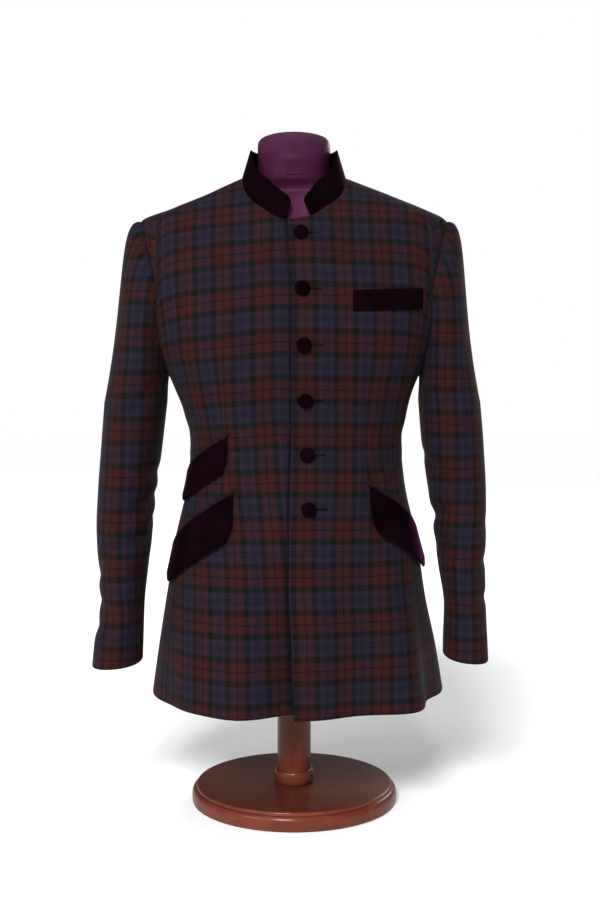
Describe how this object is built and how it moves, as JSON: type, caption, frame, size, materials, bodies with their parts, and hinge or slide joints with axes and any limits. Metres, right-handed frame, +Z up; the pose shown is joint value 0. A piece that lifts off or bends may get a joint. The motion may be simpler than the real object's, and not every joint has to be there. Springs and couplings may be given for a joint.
{
  "type": "nehru jacket on a dress form",
  "caption": "Long nehru jacket in red, navy and green checked wool with plum velvet collar, welt, flaps and buttons, on a limbless dress form with a wooden post and round foot",
  "frame": {"origin": "centre of the foot's flat underside, on the post's axis", "axes": "+Z up, -Y the jacket's front, +X the wearer's left"},
  "size_m": [0.5823, 0.3252, 0.9958],
  "materials": {
    "checked_wool": "fine twill check in dark red, navy and bottle green",
    "plum_velvet": "short-pile velvet, nearly black with a plum sheen at its edges",
    "form_cover": "smooth plum satin stretched over the form",
    "red_brown_wood": "stained and varnished, satin gloss"
  },
  "bodies": {
    "root": {"left_front": "checked_wool", "left_front_skirt": "checked_wool", "right_front": "checked_wool", "right_front_skirt": "checked_wool", "left_side_panel": "checked_wool", "right_side_panel": "checked_wool", "left_back": "checked_wool", "left_back_skirt": "checked_wool", "right_back": "checked_wool", "right_back_skirt": "checked_wool", "left_top_sleeve_head": "checked_wool", "left_top_sleeve": "checked_wool", "left_under_sleeve": "checked_wool", "right_top_sleeve_head": "checked_wool", "right_top_sleeve": "checked_wool", "right_under_sleeve": "checked_wool", "ticket_jet": "checked_wool", "right_hip_jet": "checked_wool", "left_hip_jet": "checked_wool", "collar": "plum_velvet", "breast_welt": "plum_velvet", "ticket_flap": "plum_velvet", "right_hip_flap": "plum_velvet", "left_hip_flap": "plum_velvet", "button_1": "plum_velvet", "button_2": "plum_velvet", "button_3": "plum_velvet", "button_4": "plum_velvet", "button_5": "plum_velvet", "button_6": "plum_velvet", "dress_form": "form_cover", "post": "red_brown_wood", "post_ring": "red_brown_wood", "foot": "red_brown_wood"}
  },
  "joints": []
}
